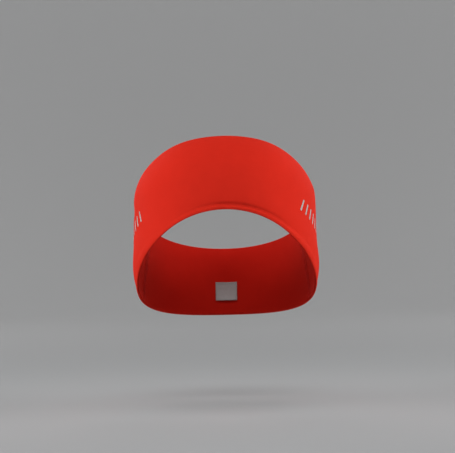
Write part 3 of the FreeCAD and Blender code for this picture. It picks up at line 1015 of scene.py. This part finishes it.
def satin(name, colour, dark):
    """Woven satin ribbon: long warp floats in steps, with a soft sheen along them."""
    finish = Finish(name)
    around, upward = finish.cloth_place()
    warp = finish.wave(finish.maths("DIVIDE", around, WARP))
    repeat = finish.maths("DIVIDE", around, WARP * FLOAT_THREADS)
    step = finish.maths("ADD", repeat, finish.maths("DIVIDE", upward, FLOAT_LENGTH))
    weave = finish.maths("ADD", warp, finish.maths("MULTIPLY", finish.wave(step), 0.5))
    shade = finish.between(finish.noise(scale=300.0, detail=3.0), low=0.5, high=1.0)
    finish.set(
        Base_Color=finish.colour_mix(shade, dark, colour),
        Roughness=0.38,
        Specular_IOR_Level=0.45,
        Anisotropic=0.5,
        Sheen_Weight=0.1,
        Normal=finish.bump(weave, depth=0.02, strength=0.35),
    )
    return finish.material


# -------------------- the object

RED, DEEP_RED = (0.66, 0.0240, 0.0118), (0.56, 0.0185, 0.0092)
# The lining's reds are darker copies of the shell's: painted shade for the inside of the band.
SHADED_LINING_RED, DEEP_SHADED_LINING_RED = (0.52, 0.0125, 0.0065), (0.43, 0.0095, 0.005)
THREAD_RED, DEEP_THREAD_RED = (0.80, 0.035, 0.022), (0.58, 0.018, 0.011)
THREAD_GREY, DEEP_THREAD_GREY = (0.48, 0.47, 0.46), (0.30, 0.29, 0.285)
FILM_GREY, DEEP_FILM_GREY = (0.44, 0.425, 0.41), (0.27, 0.26, 0.25)
SATIN_GREY, DEEP_SATIN_GREY = (0.30, 0.29, 0.285), (0.21, 0.205, 0.20)

SHELL_KNIT = knit("shell_knit", RED, DEEP_RED, fuzz=0.04)
LINING_KNIT = knit("lining_knit", SHADED_LINING_RED, DEEP_SHADED_LINING_RED, fuzz=0.12)
RED_THREAD = thread("red_thread", THREAD_RED, DEEP_THREAD_RED)
GREY_THREAD = thread("label_thread", THREAD_GREY, DEEP_THREAD_GREY)
FILM = reflective_film("reflective_film", FILM_GREY, DEEP_FILM_GREY)
SATIN = satin("label_satin", SATIN_GREY, DEEP_SATIN_GREY)


def dress(piece, node, material):
    """Gives a piece its finish and lets it stand for a node of the frame."""
    piece.data.materials.append(material)
    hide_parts(node)
    return piece


def on_ring(piece, node, material):
    """A piece of the ring: it gets its finish and its place is baked into its points."""
    dress(piece, node, material)
    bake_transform(piece)


for half in ("front", "back"):
    shell = knit_panel(f"outer_{half}_knit", half, is_lining=False)
    on_ring(shell, f"outer_{half}_panel", SHELL_KNIT)
    lining = knit_panel(f"lining_{half}_knit", half, is_lining=True)
    on_ring(lining, f"lining_{half}_panel", LINING_KNIT)
    for where, at_top in (("bottom", False), ("top", True)):
        loops = overlock(f"{where}_edge_overlock_{half}", half, at_top)
        on_ring(loops, f"{where}_edge_seam_{half}", RED_THREAD)
for name, side in (("left", 1), ("right", -1)):
    for layer, is_lining in (("outer", False), ("lining", True)):
        stitches = flatlock(f"{name}_{layer}_flatlock_stitches", side, is_lining)
        on_ring(stitches, f"{name}_{layer}_flatlock", RED_THREAD)
    film = print_film(f"{name}_print_film", f"{name}_reflective_print", side)
    on_ring(film, f"{name}_reflective_print", FILM)

ribbon = dress(care_label(), "care_label", SATIN)
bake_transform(ribbon)
label_row = dress(label_stitches(), "label_stitching", GREY_THREAD)
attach(label_row, "back")


# -------------------- stage, light and camera

FLOOR_LEVEL = -165.0
STAGE_RADIUS, COVE_RADIUS, WALL_HEIGHT = 2200.0, 800.0, 1500.0
STAGE_COLUMNS, COVE_STEPS = 129, 25
FLOOR_GREY, WALL_GREY = (0.36, 0.365, 0.37), (0.62, 0.625, 0.63)
FLOOR_GLOW, WALL_GLOW = 0.01, 0.14  # in place of the lamps that light the stage alone
FLOOR_ENDS, WALL_STARTS = 400.0, 1500.0  # distances from the centre between which they blend


def stage_paint():
    """Plain pale studio paint, a little deeper on the floor under the band, with a painted glow that stands in for
    lamps: faint on the floor, stronger on the wall.
    """
    finish = Finish("stage_paint")
    distance = finish.node("ShaderNodeVectorMath", {0: finish.place()}, operation="LENGTH")
    inputs = {
        "Value": distance.outputs["Value"],
        "From Min": FLOOR_ENDS * MM,
        "From Max": WALL_STARTS * MM,
    }
    share = finish.node("ShaderNodeMapRange", inputs, interpolation_type="SMOOTHSTEP")
    share = share.outputs["Result"]
    finish.set(
        Base_Color=finish.colour_mix(share, FLOOR_GREY, WALL_GREY),
        Roughness=0.85,
        Specular_IOR_Level=0.2,
        # Painted light: the stage glows in place of lamps.
        Emission_Color=(1.0, 1.0, 1.0, 1.0),
        Emission_Strength=finish.between(share, low=FLOOR_GLOW, high=WALL_GLOW),
    )
    return finish.material


def stage():
    """A round floor that turns up into a wall all round, in one wide curve."""
    flat = STAGE_RADIUS - COVE_RADIUS
    profile = [(0, FLOOR_LEVEL)]
    for turn in np.linspace(0, math.pi / 2, COVE_STEPS):
        height = FLOOR_LEVEL + COVE_RADIUS * (1 - math.cos(turn))
        profile.append((flat + COVE_RADIUS * math.sin(turn), height))
    profile.append((STAGE_RADIUS, WALL_HEIGHT))
    points = [
        (distance * math.cos(turn), distance * math.sin(turn), height)
        for turn in np.linspace(0, 2 * math.pi, STAGE_COLUMNS)
        for distance, height in profile
    ]
    floor = make_mesh("stage", points, sheet_faces(STAGE_COLUMNS, len(profile)))
    floor.data.materials.append(stage_paint())


WORLD_GREY = 0.08
SOFTBOX_SPREAD = math.radians(80)
# Places of the softboxes on the wearer's left or in the middle, their sizes in metres and their
# powers in watts.
SIDE_SOFTBOX = (1.38, -0.38, 0.38), (0.8, 0.8), 3.7
BACK_SOFTBOX = (0.8, 1.2, 0.6), (0.9, 0.9), 1.2
FRONT_SOFTBOX = (0, -0.9, 1.2), (1.2, 0.5), 1.8


def softbox(name, side, place, size, power):
    """A rectangular light that faces the object and isn't itself seen. side is -1 for the mirror
    image of its place."""
    data = bpy.data.lights.new(name, "AREA")
    data.shape = "RECTANGLE"
    data.size, data.size_y = size
    data.energy = power
    data.spread = SOFTBOX_SPREAD
    light = bpy.data.objects.new(name, data)
    light.location = Vector(place) * Vector((side, 1, 1))
    light.rotation_euler = (-light.location).to_track_quat("-Z", "Y").to_euler()
    light.visible_camera = False
    bpy.context.scene.collection.objects.link(light)


def studio():
    world = bpy.data.worlds.new("studio")
    bpy.context.scene.world = world
    world.use_nodes = True
    background = world.node_tree.nodes["Background"]
    background.inputs["Color"].default_value = (WORLD_GREY, WORLD_GREY, WORLD_GREY, 1)
    for name, side in (("left", 1), ("right", -1)):
        softbox(f"{name}_softbox", side, *SIDE_SOFTBOX)
        softbox(f"{name}_back_softbox", side, *BACK_SOFTBOX)
    softbox("front_softbox", 1, *FRONT_SOFTBOX)


CAMERA_DISTANCE, CAMERA_LENS, CAMERA_SENSOR = 1.2, 108.0, 36.0
CAMERA_SHIFT, CAMERA_ROLL = 0.0057, math.radians(1.3)


def camera():
    """Level with the band, in front of it, with as long a lens as a catalogue picture takes."""
    data = bpy.data.cameras.new("camera")
    data.lens = CAMERA_LENS
    data.sensor_width = CAMERA_SENSOR
    data.shift_x = CAMERA_SHIFT
    made = bpy.data.objects.new("camera", data)
    made.location = (0, -CAMERA_DISTANCE, 0)
    made.rotation_euler = (math.pi / 2, CAMERA_ROLL, 0)
    bpy.context.scene.collection.objects.link(made)
    bpy.context.scene.camera = made


stage()
studio()
camera()
bpy.context.scene.view_settings.view_transform = "Standard"
